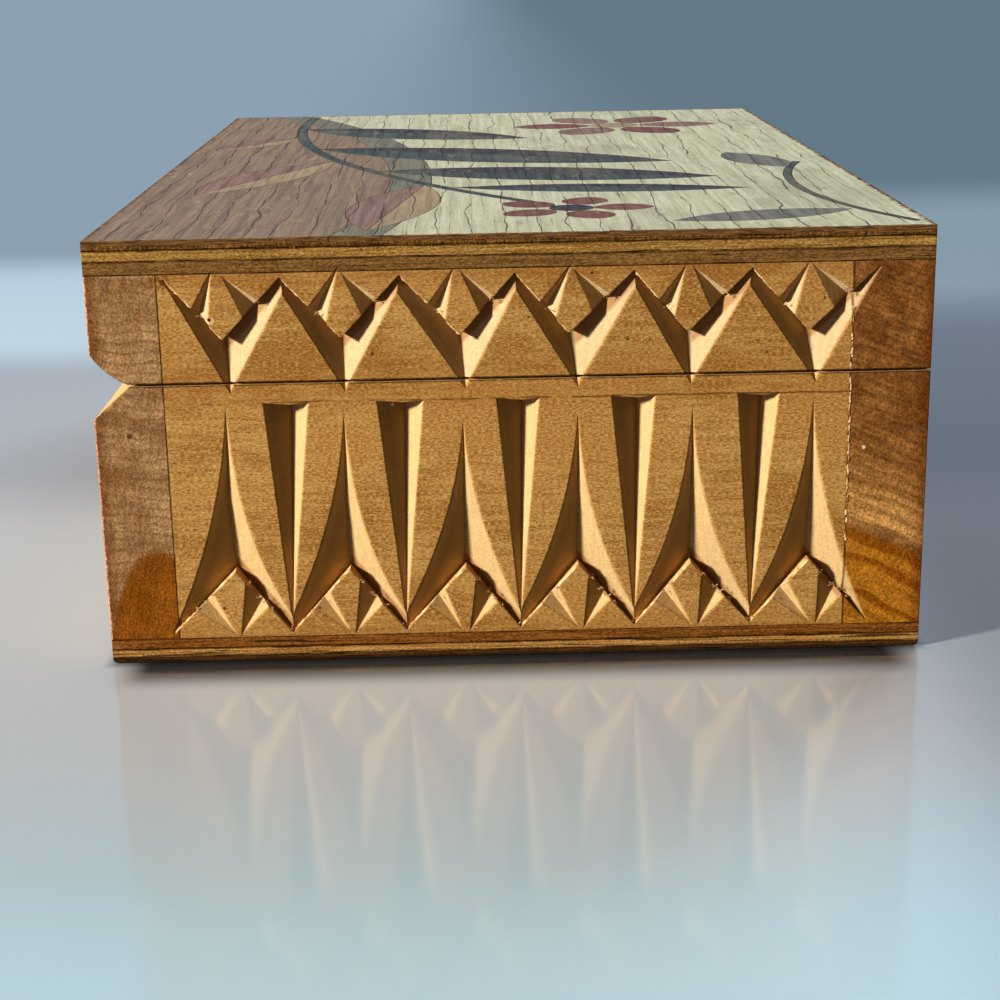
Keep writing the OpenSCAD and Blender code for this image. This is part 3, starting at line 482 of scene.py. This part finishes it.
def grain_cracks(s, spacing, width, share, seed):
    """Wandering cracks along X, broken into lengths: 1 in a crack, 0 beside it."""
    sway = s.noise(s.stretched(0.05, 0.16, 0, seed=seed), 1.0, 2.0)
    kink = s.noise(s.stretched(0.9, 0.4, 0, seed=seed), 1.0, 2.0, 0.6)
    across = s.add(s.add(s.y, s.mul(sway, 1.1 * spacing)), s.mul(kink, 0.34))
    off = s.math("ABSOLUTE", s.sub(s.math("FRACT", s.math("DIVIDE", across, spacing)), 0.5))
    here = s.noise(s.stretched(0.10, 1.3 / spacing, 0, seed=seed + 2), 1.0, 3.0, 0.6)
    half = s.step(here, share, share + 0.22, 0.0, width / spacing)
    return s.step(off, s.add(half, 0.004), s.mul(half, 0.4))


def veneer(name, dark, light, seed):
    """A piece of the marquetry: aged matt veneer along X, finely cracked, greyed and stained."""
    s = Shader(name)
    q = s.stretched(0.05, 1, 0.3, seed=seed)
    figure = s.noise(q, 0.9, 4.0, 0.6, 0.6)
    fine = s.noise(s.stretched(0.11, 1, 1, seed=seed + 2), 5.0, 3.0, 0.65)
    colour = s.mix(s.step(s.add(s.mul(figure, 0.75), s.mul(fine, 0.3)), 0.34, 0.72), dark, light)
    # Patina that runs over all the pieces alike
    blotch = s.noise(s.stretched(0.6, 1, 1), 0.065, 3.0, 0.6)
    colour = s.mix(s.step(blotch, 0.48, 0.72, 0.0, 0.36), colour, srgb(136, 128, 110))
    worn = s.noise(s.stretched(0.35, 1, 1), 0.5, 4.0, 0.7)
    colour = s.mix(s.step(worn, 0.56, 0.74, 0.0, 0.35), colour, srgb(206, 196, 168))
    colour = s.mix(s.step(worn, 0.42, 0.28, 0.0, 0.4), colour, srgb(84, 66, 52))
    # Cracks along the grain, long ones and short fine ones between them
    crack = s.high(grain_cracks(s, 3.9, 0.11, 0.36, 1.0), s.mul(grain_cracks(s, 1.35, 0.06, 0.50, 7.0), 0.8))
    top = s.step(s.nz, 0.6, 0.8)
    crack = s.mul(crack, top)
    colour = s.mix(s.mul(crack, 0.8), colour, srgb(46, 36, 30))
    # Worn through to the plywood along the lid's edges
    edge = s.low(s.sub(HALF_L, s.math("ABSOLUTE", s.x)), s.sub(HALF_W, s.math("ABSOLUTE", s.y)))
    ragged = s.noise(s.stretched(0.9, 0.9, 1), 0.9, 4.0, 0.7)
    gone = s.step(s.add(edge, s.mul(s.sub(ragged, 0.5), 2.6)), 0.75, 0.25)
    ply_tone = s.noise(s.join(s.mul(s.add(s.x, s.y), 0.4), 0.0, s.mul(s.z, 4.0)), 1.0, 4.0, 0.7)
    under = s.mix(s.step(ply_tone, 0.35, 0.65), srgb(74, 50, 30), srgb(150, 108, 62))
    gone = s.high(gone, s.sub(1.0, top))
    colour = s.mix(gone, colour, under)
    height = s.sub(s.add(s.mul(fine, 0.35), s.mul(figure, 0.2)), s.add(s.mul(crack, 1.1), s.mul(gone, 0.6)))
    height = s.add(height, s.mul(gone, s.mul(ply_tone, 0.9)))
    normal = s.bump(height, 0.00018, 0.8, s.rounded(0.00015))
    return s.finish(colour, s.step(worn, 0.3, 0.7, 0.58, 0.78), normal, specular=0.15)


panel = carved_wood("panel_wood", "panel", 1.0)
front = carved_wood("front_board_wood", "front", 2.0)
back = carved_wood("back_board_wood", "back", 3.0)
dress(panel, "base_right_end", "base_left_end", "lid_right_end", "lid_left_end")
dress(front, "base_front_wall", "lid_front_wall")
dress(back, "base_back_wall", "lid_back_wall")

LID_PLIES = [LID_TOP, 50.1, OUTER_PLY_Z]
BASE_PLIES = [BOTTOM_T, 1.9, 0.9]
PLIES = (  # node, dark and light tones, seed, how far its edge is cracked
    ("lid_inner_ply", srgb(114, 77, 38), srgb(160, 117, 66), 1.0, 0.0),
    ("lid_core_ply", srgb(142, 98, 42), srgb(206, 160, 88), 2.0, 0.0),
    ("lid_outer_ply", srgb(84, 53, 21), srgb(150, 105, 50), 3.0, 0.03),
    ("bottom_inner_ply", srgb(112, 64, 22), srgb(164, 104, 44), 4.0, 0.02),
    ("bottom_core_ply", srgb(146, 96, 42), srgb(228, 172, 98), 5.0, 0.05),
    ("bottom_outer_ply", srgb(62, 38, 20), srgb(112, 72, 34), 6.0, 0.04),
)
for node, dark, light, seed, worn in PLIES:
    layers = LID_PLIES if node.startswith("lid") else BASE_PLIES
    dress(ply(node + "_wood", layers, dark, light, seed, worn, node == "lid_outer_ply"), node)

VENEERS = {  # dark and light tones
    "mauve": (srgb(122, 102, 90), srgb(162, 138, 118)),
    "grey": (srgb(100, 100, 92), srgb(136, 136, 122)),
    "pale": (srgb(186, 186, 158), srgb(220, 221, 194)),
    "slate": (srgb(52, 62, 62), srgb(84, 96, 94)),
    "dark": (srgb(50, 46, 52), srgb(82, 76, 82)),
    "beige": (srgb(150, 128, 102), srgb(184, 164, 136)),
    "pink": (srgb(122, 92, 86), srgb(158, 128, 120)),
    "russet": (srgb(104, 62, 58), srgb(140, 94, 88)),
    "ash": (srgb(96, 96, 92), srgb(134, 134, 126)),
}


def veneer_of(node):
    """The wood of a piece of the picture."""
    if node.startswith("leaf_"):
        left = "left" in node
        if int(node.split("_")[1]) <= 4:
            return "dark" if left else "slate"
        return "beige" if left else "pink"
    if node.startswith("large_petal_"):
        return "pink" if int(node[-1]) % 2 else "russet"
    starts = {"twig_leaf": "ash", "small_petal": "russet", "large_blossom": "beige", "small_blossom": "dark",
              "marquetry_mauve": "mauve", "marquetry_grey": "grey", "marquetry_pale": "pale",
              "marquetry_stem": "slate", "marquetry_twig": "slate"}
    for start, wood in starts.items():
        if node.startswith(start):
            return wood
    return None


pieces = [n for n in sorted(nodes) if veneer_of(n)]
for i, n in enumerate(pieces):
    wood = veneer_of(n)
    dress(veneer(n + "_veneer", *VENEERS[wood], seed=1.0 + 1.37 * i), n)


def metal(name, base, dull, roughness, seed):
    """Old metal: tarnish in patches, fine scratches."""
    s = Shader(name)
    patch = s.noise(s.stretched(1, 1, 1, seed=seed), 0.9, 4.0, 0.65)
    scratch = s.noise(s.stretched(0.4, 5, 5, seed=seed), 3.0, 2.0)
    colour = s.mix(s.step(patch, 0.40, 0.66), base, dull)
    rough = s.add(s.step(patch, 0.35, 0.7, roughness, roughness + 0.28), s.mul(scratch, 0.12))
    normal = s.bump(s.add(scratch, s.mul(patch, 0.5)), 0.00004, 0.6, s.rounded(0.00012))
    return s.finish(colour, rough, normal, metallic=1.0)


brass = metal("tarnished_brass", srgb(198, 160, 88), srgb(112, 84, 46), 0.30, 1.0)
steel = metal("dull_steel", srgb(176, 172, 164), srgb(104, 96, 88), 0.34, 2.0)
dress(brass, "base_hinge_leaf_left", "base_hinge_leaf_right", "lid_hinge_leaf_left", "lid_hinge_leaf_right")
dress(steel, "hinge_pin_left", "hinge_pin_right", "base_hinge_screws", "lid_hinge_screws")


# Small torn pieces of wood and glue, too fine for the solids

class Scraps:
    """A mesh of many small closed bits, given in millimetres on the +X end or mirrored on the other."""

    def __init__(self, seed):
        self.random = random.Random(seed)
        self.points = []
        self.faces = []

    def between(self, low, high):
        return self.random.uniform(low, high)

    def put(self, points, faces):
        start = len(self.points)
        self.points += points
        self.faces += [[start + i for i in f] for f in faces]

    def sliver(self, side, place, direction, length, width):
        """A splinter with a three-sided foot and one point."""
        way = Vector(direction).normalized()
        across = way.orthogonal().normalized()
        third = way.cross(across)
        foot = Vector(place) - way * length * 0.35
        corners = [foot + (across * math.cos(a) + third * math.sin(a)) * width / 2 for a in (0.0, 2.1, 4.2)]
        tip = Vector(place) + way * length * 0.65
        points = [(side * q.x, q.y, q.z) for q in corners + [tip]]
        self.put(points, [(0, 1, 2), (0, 1, 3), (1, 2, 3), (2, 0, 3)])

    def lip(self, side, start, end, out, steps):
        """A ragged burr along an edge of the end face, from start to end as (y, z).

        It stands out sideways, the way that out gives, a little below the face.
        """
        ring = []
        for k in range(steps + 1):
            t = k / steps
            y, z = (start[i] + t * (end[i] - start[i]) for i in (0, 1))
            w = 0.04 if k in (0, steps) else self.between(0.09, 0.24)
            sink = self.between(0.04, 0.12) + 0.6 * w
            ring.append([(side * HALF_L, y, z), (side * (HALF_L - sink), y + w * out[0], z + w * out[1]),
                         (side * (HALF_L - sink - 0.5), y, z)])
        points = [q for r in ring for q in r]
        faces = [(0, 1, 2), (3 * steps + 2, 3 * steps + 1, 3 * steps)]
        for k in range(steps):
            for i, j in ((0, 1), (1, 2), (2, 0)):
                faces.append((3 * k + i, 3 * k + j, 3 * k + 3 + j, 3 * k + 3 + i))
        self.put(points, faces)

    def bead(self, side, place, height, width, out):
        """A drop of dried glue on the end face."""
        rows, round_ = 5, 8
        points = [(0, 0, 1)]
        for i in range(1, rows):
            tilt = math.pi * i / rows
            for j in range(round_):
                turn = 2 * math.pi * j / round_
                points.append((math.sin(tilt) * math.cos(turn), math.sin(tilt) * math.sin(turn),
                               math.cos(tilt)))
        points.append((0, 0, -1))
        last = len(points) - 1
        faces = [(0, 1 + j, 1 + (j + 1) % round_) for j in range(round_)]
        for i in range(rows - 2):
            for j in range(round_):
                a, b = 1 + i * round_ + j, 1 + i * round_ + (j + 1) % round_
                faces.append((a, a + round_, b + round_, b))
        faces += [(last, last - round_ + (j + 1) % round_, last - round_ + j) for j in range(round_)]
        y, z = place
        points = [(side * (HALF_L + out * q[0]), y + width * q[1] / 2, z + height * q[2] / 2) for q in points]
        self.put(points, faces)

    def piece(self, name, material, body, slot):
        """Makes the bits one object that rides on a body."""
        mesh = bpy.data.meshes.new(name)
        mesh.from_pydata([[c / 1000 for c in q] for q in self.points], [], self.faces)
        mesh.materials.append(material)
        obj = bpy.data.objects.new(name, mesh)
        bpy.context.scene.collection.objects.link(obj)
        bpy.context.view_layer.objects.active = obj
        bpy.ops.object.select_all(action="DESELECT")
        obj.select_set(True)
        bpy.ops.object.mode_set(mode="EDIT")
        bpy.ops.mesh.select_all(action="SELECT")
        bpy.ops.mesh.normals_make_consistent(inside=False)
        bpy.ops.object.mode_set(mode="OBJECT")
        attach(obj, body)


def scrap_wood(name, dark, light, rough, specular):
    """Loose fibres or glue: each bit has its own tone."""
    s = Shader(name)
    tone = s.noise(s.stretched(1, 1, 1, seed=4), 0.9, 2.0, 0.6)
    fine = s.noise(s.stretched(1, 1, 1, seed=5), 7.0, 2.0, 0.7)
    colour = s.mix(s.step(tone, 0.38, 0.60), dark, light)
    colour = s.shade(colour, s.step(fine, 0.3, 0.7, 0.85, 1.15))
    roughness = s.step(fine, 0.3, 0.7, rough, rough + 0.15)
    return s.finish(colour, roughness, s.bump(fine, 0.00005, 0.6), specular=specular)


def on_line(start, end, t):
    """The point at a share of the way from start to end."""
    return tuple(a + t * (b - a) for a, b in zip(start, end))


def tear(scraps, side, y, z, count, spread, long=0.55):
    """A tuft of splinters round a place on the end face, most of them along the grain."""
    for _ in range(count):
        off_y, off_z = scraps.between(-spread, spread), scraps.between(-spread, spread) * 0.7
        place = (HALF_L - scraps.between(0.0, 0.35), y + off_y, z + off_z)
        way = (scraps.between(-0.1, 0.3), scraps.between(-1, 1), scraps.between(-0.4, 0.4))
        scraps.sliver(side, place, way, scraps.between(0.20, long), scraps.between(0.07, 0.18))


# Splinters along the top ply at each end
SPLINTERS = 330
lid_scraps, base_scraps, fringe = Scraps(11), Scraps(12), Scraps(14)
base_glue, lid_glue = Scraps(13), Scraps(15)
for side in (1, -1):
    for i in range(REPEATS):
        # The lid: burrs along the left limb of each V, tufts at its corners and at the small chips
        top, notch, next_top = (V_TOPS[i], V_TOP_Z), (V_NOTCHES[i], V_NOTCH_Z), (V_TOPS[i + 1], V_TOP_Z)
        down_left, up_left = (-0.72, -0.69), (-0.72, 0.69)
        lid_scraps.lip(side, on_line(top, notch, 0.03), on_line(top, notch, 0.47), down_left, 22)
        lid_scraps.lip(side, on_line(top, notch, 0.765), on_line(top, notch, 0.985), down_left, 12)
        tear(lid_scraps, side, *on_line(top, notch, 0.60), 5, 0.35)
        tear(lid_scraps, side, *on_line(next_top, notch, 0.42), 6, 0.40)
        tear(lid_scraps, side, top[0] + 0.25, V_TOP_Z + 0.25, 6, 0.35, 0.6)
        # The base: the same along the legs
        foot, notch, next_foot = (FEET[i], FOOT_Z), (LEG_NOTCHES[i], LEG_NOTCH_Z), (FEET[i + 1], FOOT_Z)
        base_scraps.lip(side, on_line(notch, foot, 0.02), on_line(notch, foot, 0.34), up_left, 15)
        base_scraps.lip(side, on_line(notch, foot, 0.64), on_line(notch, foot, 0.97), up_left, 16)
        for t in (0.36, 0.48, 0.60):
            tear(base_scraps, side, *on_line(notch, foot, t), 3, 0.25)
        for t in (0.20, 0.40, 0.50, 0.62):
            tear(base_scraps, side, *on_line(notch, next_foot, t), 7, 0.38)
        tear(base_scraps, side, next_foot[0], FOOT_Z + 0.5, 8, 0.45)
        tear(base_scraps, side, LEG_NOTCHES[i], BOTTOM_T + 0.1, 5, 0.35, 0.6)
    # Glue that has run out of the joint with the back board, except where the carving crosses it
    for glue, low, high in (
            (base_glue, BOTTOM_T + SPIKE_CROSSING, SEAM - 0.5),
            (lid_glue, LID_Z + 0.5, LID_TOP - V_CROSSING)):
        z = low
        while z < high:
            height = glue.between(0.35, 0.95)
            place = (BACK_JOINT + glue.between(-0.09, 0.09), z)
            glue.bead(side, place, height, glue.between(0.16, 0.34), glue.between(0.04, 0.11))
            z += height * glue.between(0.7, 1.25)
    # The frayed edge of the top ply
    for _ in range(SPLINTERS):
        y = fringe.between(0.4 - HALF_W, HALF_W - 0.4)
        z = fringe.between(OUTER_PLY_Z + 0.1, TOP_Z - 0.1)
        way = (fringe.between(0.2, 1.0), fringe.between(-0.6, 0.6), fringe.between(-1.0, 0.5))
        length, width = fringe.between(0.25, 0.75), fringe.between(0.08, 0.20)
        fringe.sliver(side, (HALF_L - 0.05, y, z), way, length, width)

bare_fibres = scrap_wood("torn_bare_wood", srgb(186, 134, 72), srgb(250, 214, 158), 0.70, 0.10)
lid_scraps.piece("lid_torn_fibres", bare_fibres, "lid", "panel")
base_scraps.piece("base_torn_fibres", bare_fibres, "base", "panel")
glue_drops = scrap_wood("glue_drops", srgb(168, 100, 40), srgb(246, 210, 152), 0.45, 0.30)
base_glue.piece("base_glue_drops", glue_drops, "base", "panel")
lid_glue.piece("lid_glue_drops", glue_drops, "lid", "panel")
frayed = scrap_wood("frayed_ply", srgb(78, 44, 16), srgb(196, 142, 76), 0.70, 0.10)
fringe.piece("lid_frayed_edge", frayed, "lid", "dark_ply")


# Floor, lights and camera

def floor():
    """The staged floor, pale and glossy near the box, and the even background far from it."""
    bpy.ops.mesh.primitive_circle_add(vertices=96, radius=6.0, fill_type="NGON")
    disc = bpy.context.object
    disc.name = "floor"
    s = Shader("pale_floor")
    # Pale round the box, bluer towards the viewer, a bright strip behind it on the front's side
    near = s.mix(s.step(s.x, 100.0, 155.0), srgb(210, 219, 230), srgb(200, 234, 254))
    near = s.shade(near, s.step(s.x, 30.0, -15.0, 1.0, 0.64))
    # Painted shadow of the box on the floor beside its back's side
    side = s.mul(s.step(s.y, 25.0, 65.0), s.step(s.x, 170.0, 80.0, 0.45, 0.59))
    near = s.shade(near, s.sub(1.0, side))
    strip = s.step(s.y, 40.0, -20.0)
    bright = s.mix(s.mul(s.step(s.x, -85.0, -125.0), strip), near, srgb(204, 232, 248))
    # It throws little light back on the box, and carries a painted contact shadow where the box touches it
    path = s.tree.nodes.new("ShaderNodeLightPath")
    seen = s.high(path.outputs["Is Camera Ray"], path.outputs["Is Glossy Ray"])
    before_end = s.sub(s.math("ABSOLUTE", s.x), HALF_L)
    beside = s.sub(s.math("ABSOLUTE", s.y), HALF_W)
    bright = s.shade(bright, s.step(s.high(before_end, beside), -0.5, 1.6, 0.42, 1.0))
    # The soft shadow before the ends, which fades at their corners
    shadow = s.mul(s.step(before_end, 9.5, 2.0), s.step(beside, 0.0, -5.0))
    bright = s.shade(bright, s.sub(1.0, s.mul(shadow, 0.94)))
    colour = s.mix(seen, srgb(112, 108, 104), bright)
    # Away from the box it is plain and even, and darker far behind it; the darker tone towards the back's
    # side is painted shade
    far = s.step(s.x, s.step(s.y, -60.0, 60.0, -165.0, -110.0), s.step(s.y, -60.0, 60.0, -260.0, -250.0))
    tone = s.mix(s.step(s.y, -110.0, 120.0), srgb(140, 161, 178), srgb(99, 121, 136))
    paler = s.mul(s.step(s.x, -400.0, -290.0), s.step(s.y, 10.0, 80.0))
    tone = s.mix(s.mul(paler, 0.8), tone, srgb(140, 162, 174))
    tone = s.mix(s.step(s.x, -170.0, -60.0), tone, srgb(178, 192, 202))
    away = s.vmath("LENGTH", s.join(s.x, s.y, 0.0))
    far = s.high(far, s.step(away, 230.0, 460.0))
    self_lit = s.mul(far, seen)
    s.put(s.bsdf.inputs["Emission Color"], tone)
    s.put(s.bsdf.inputs["Emission Strength"], self_lit)
    colour = s.shade(colour, s.sub(1.0, self_lit))
    s.finish(colour, s.step(far, 0.0, 1.0, 0.11, 0.6), specular=s.step(far, 0.0, 1.0, 0.75, 0.0))
    disc.data.materials.append(s.mat)


def area_light(name, direction, distance, size, power, colour):
    """A round lamp that points at the box and doesn't show in its gloss."""
    lamp = bpy.data.lights.new(name, "AREA")
    lamp.shape = "DISK"
    lamp.size = size
    lamp.energy = power
    lamp.color = colour
    obj = bpy.data.objects.new(name, lamp)
    bpy.context.scene.collection.objects.link(obj)
    obj.visible_glossy = False
    away = Vector(direction).normalized()
    obj.location = Vector((0, 0, 0.03)) + away * distance
    obj.rotation_euler = away.to_track_quat("Z", "Y").to_euler()


def camera():
    """The photograph's viewpoint: off the +X end, a little above, looking down at it."""
    yaw, pitch, roll = (math.radians(a) for a in (-0.72, 16.43, -1.05))
    ahead = Vector((-math.cos(yaw), -math.sin(yaw), 0))
    side = Vector((-math.sin(yaw), math.cos(yaw), 0))
    forward = math.cos(pitch) * ahead - math.sin(pitch) * Vector((0, 0, 1))
    up = math.sin(pitch) * ahead + math.cos(pitch) * Vector((0, 0, 1))
    right = math.cos(roll) * side + math.sin(roll) * up
    up = math.cos(roll) * up - math.sin(roll) * side
    data = bpy.data.cameras.new("camera")
    data.lens = 68.47
    data.sensor_width = 36.0
    obj = bpy.data.objects.new("camera", data)
    bpy.context.scene.collection.objects.link(obj)
    turn = Matrix((right, up, -forward)).transposed().to_4x4()
    turn.translation = Vector((0.3013, -0.0045, 0.0855))
    obj.matrix_world = turn
    bpy.context.scene.camera = obj


def world():
    """Faint warm light from all round, and a blue-grey surrounding for the camera and for gloss."""
    w = bpy.data.worlds.new("studio")
    bpy.context.scene.world = w
    w.use_nodes = True
    tree = w.node_tree
    ambient = tree.nodes["Background"]
    ambient.inputs["Color"].default_value = (1.0, 0.88, 0.72, 1.0)
    ambient.inputs["Strength"].default_value = 0.035
    seen = tree.nodes.new("ShaderNodeBackground")
    seen.inputs["Color"].default_value = srgb(150, 168, 192)
    path = tree.nodes.new("ShaderNodeLightPath")
    either = tree.nodes.new("ShaderNodeMath")
    either.operation = "MAXIMUM"
    tree.links.new(path.outputs["Is Camera Ray"], either.inputs[0])
    tree.links.new(path.outputs["Is Glossy Ray"], either.inputs[1])
    mix = tree.nodes.new("ShaderNodeMixShader")
    tree.links.new(either.outputs[0], mix.inputs[0])
    tree.links.new(ambient.outputs[0], mix.inputs[1])
    tree.links.new(seen.outputs[0], mix.inputs[2])
    tree.links.new(mix.outputs[0], tree.nodes["World Output"].inputs["Surface"])


floor()
area_light("key", (0.45, -0.82, 0.35), 1.6, 0.20, 42.0, (1.0, 0.94, 0.83))
area_light("fill_behind", (-0.85, 0.42, 0.50), 1.6, 0.9, 23.0, (0.92, 0.96, 1.0))
camera()
world()
bpy.context.scene.view_settings.view_transform = "Standard"
